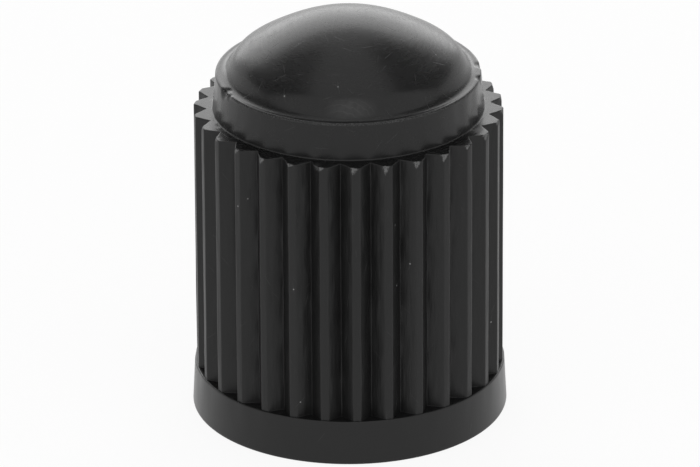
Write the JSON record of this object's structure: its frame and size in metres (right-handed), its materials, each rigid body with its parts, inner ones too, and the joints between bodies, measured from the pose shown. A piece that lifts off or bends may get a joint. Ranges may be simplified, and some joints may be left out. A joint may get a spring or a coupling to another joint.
{
  "type": "tyre valve cap",
  "caption": "Moulded black plastic dust cap for a tyre valve stem, with a ribbed barrel, a plain flared skirt, a short neck, a domed top and a blind threaded bore.",
  "frame": {"origin": "centre of the open end, on the plane that the cap stands on", "axes": "+Z along the cap's axis, from the open end to the top of the dome; -Y towards the viewer of the picture"},
  "size_m": [0.0104, 0.0104, 0.0136],
  "materials": {
    "cap_plastic": "black moulded polypropylene, satin to glossy, with faint mould marks"
  },
  "bodies": {
    "root": {"cap": "cap_plastic"}
  },
  "joints": []
}
